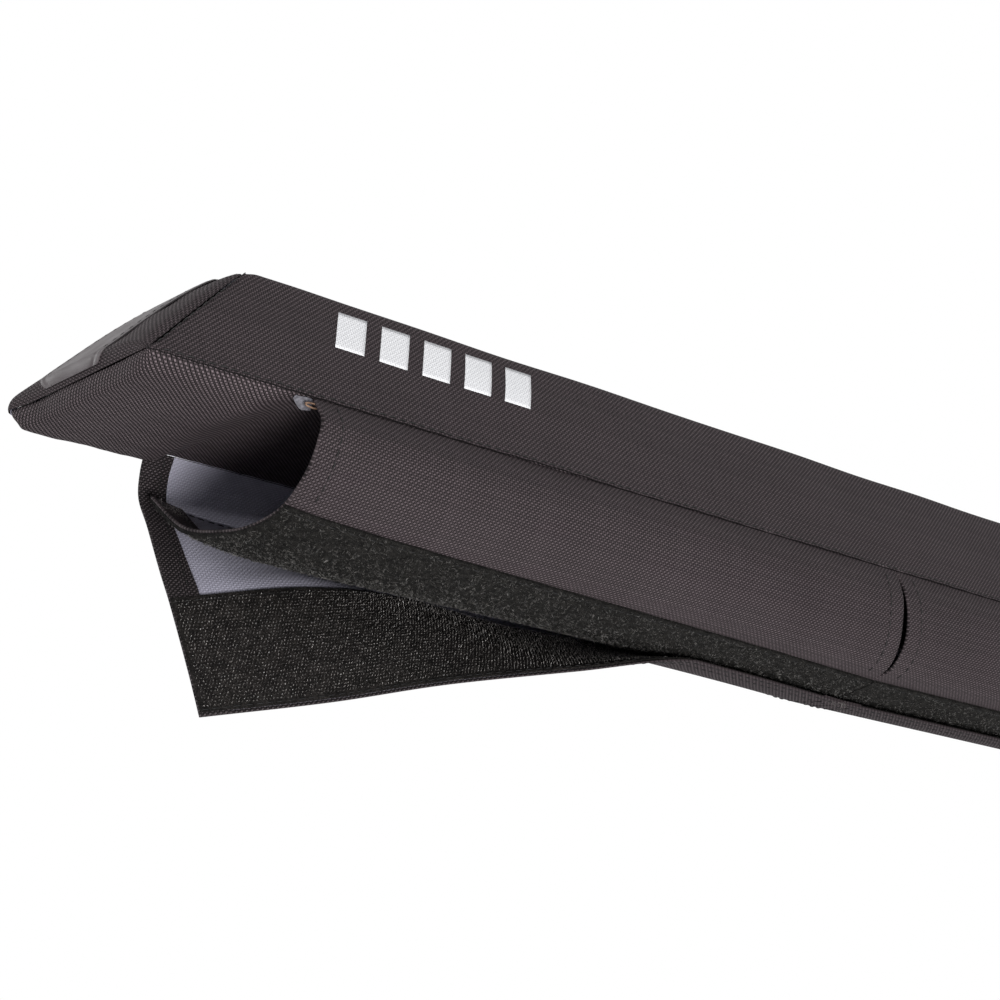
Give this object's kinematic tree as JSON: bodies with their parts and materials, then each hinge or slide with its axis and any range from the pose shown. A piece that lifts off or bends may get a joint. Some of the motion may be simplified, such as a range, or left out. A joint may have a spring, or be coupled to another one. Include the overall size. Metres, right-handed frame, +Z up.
{
  "type": "roof rack pad",
  "caption": "Long fabric-covered foam pad with slanted ends and a sleeve below that wraps a roof crossbar and closes with hook-and-loop tape.",
  "frame": {"origin": "centre of the pad's flat underside, where it sits on the crossbar", "axes": "+X along the crossbar, -Y the front, +Z up"},
  "size_m": [0.767, 0.1226, 0.1544],
  "materials": {
    "foam": "matte",
    "woven_fabric": "matte",
    "coated_patch": "satin",
    "loop_tape": "matte",
    "hook_tape": "matte"
  },
  "bodies": {
    "root": {"foam_core": "foam", "cover_wrap": "woven_fabric", "cover_base": "woven_fabric", "end_cap_left": "woven_fabric", "end_patch_left": "coated_patch", "end_cap_right": "woven_fabric", "end_patch_right": "coated_patch", "sleeve_front_left": "woven_fabric", "loop_tape_left": "loop_tape", "flap_left": "woven_fabric", "hook_tape_left": "hook_tape", "sleeve_front_right": "woven_fabric", "loop_tape_right": "loop_tape", "flap_right": "woven_fabric", "hook_tape_right": "hook_tape"}
  },
  "joints": []
}
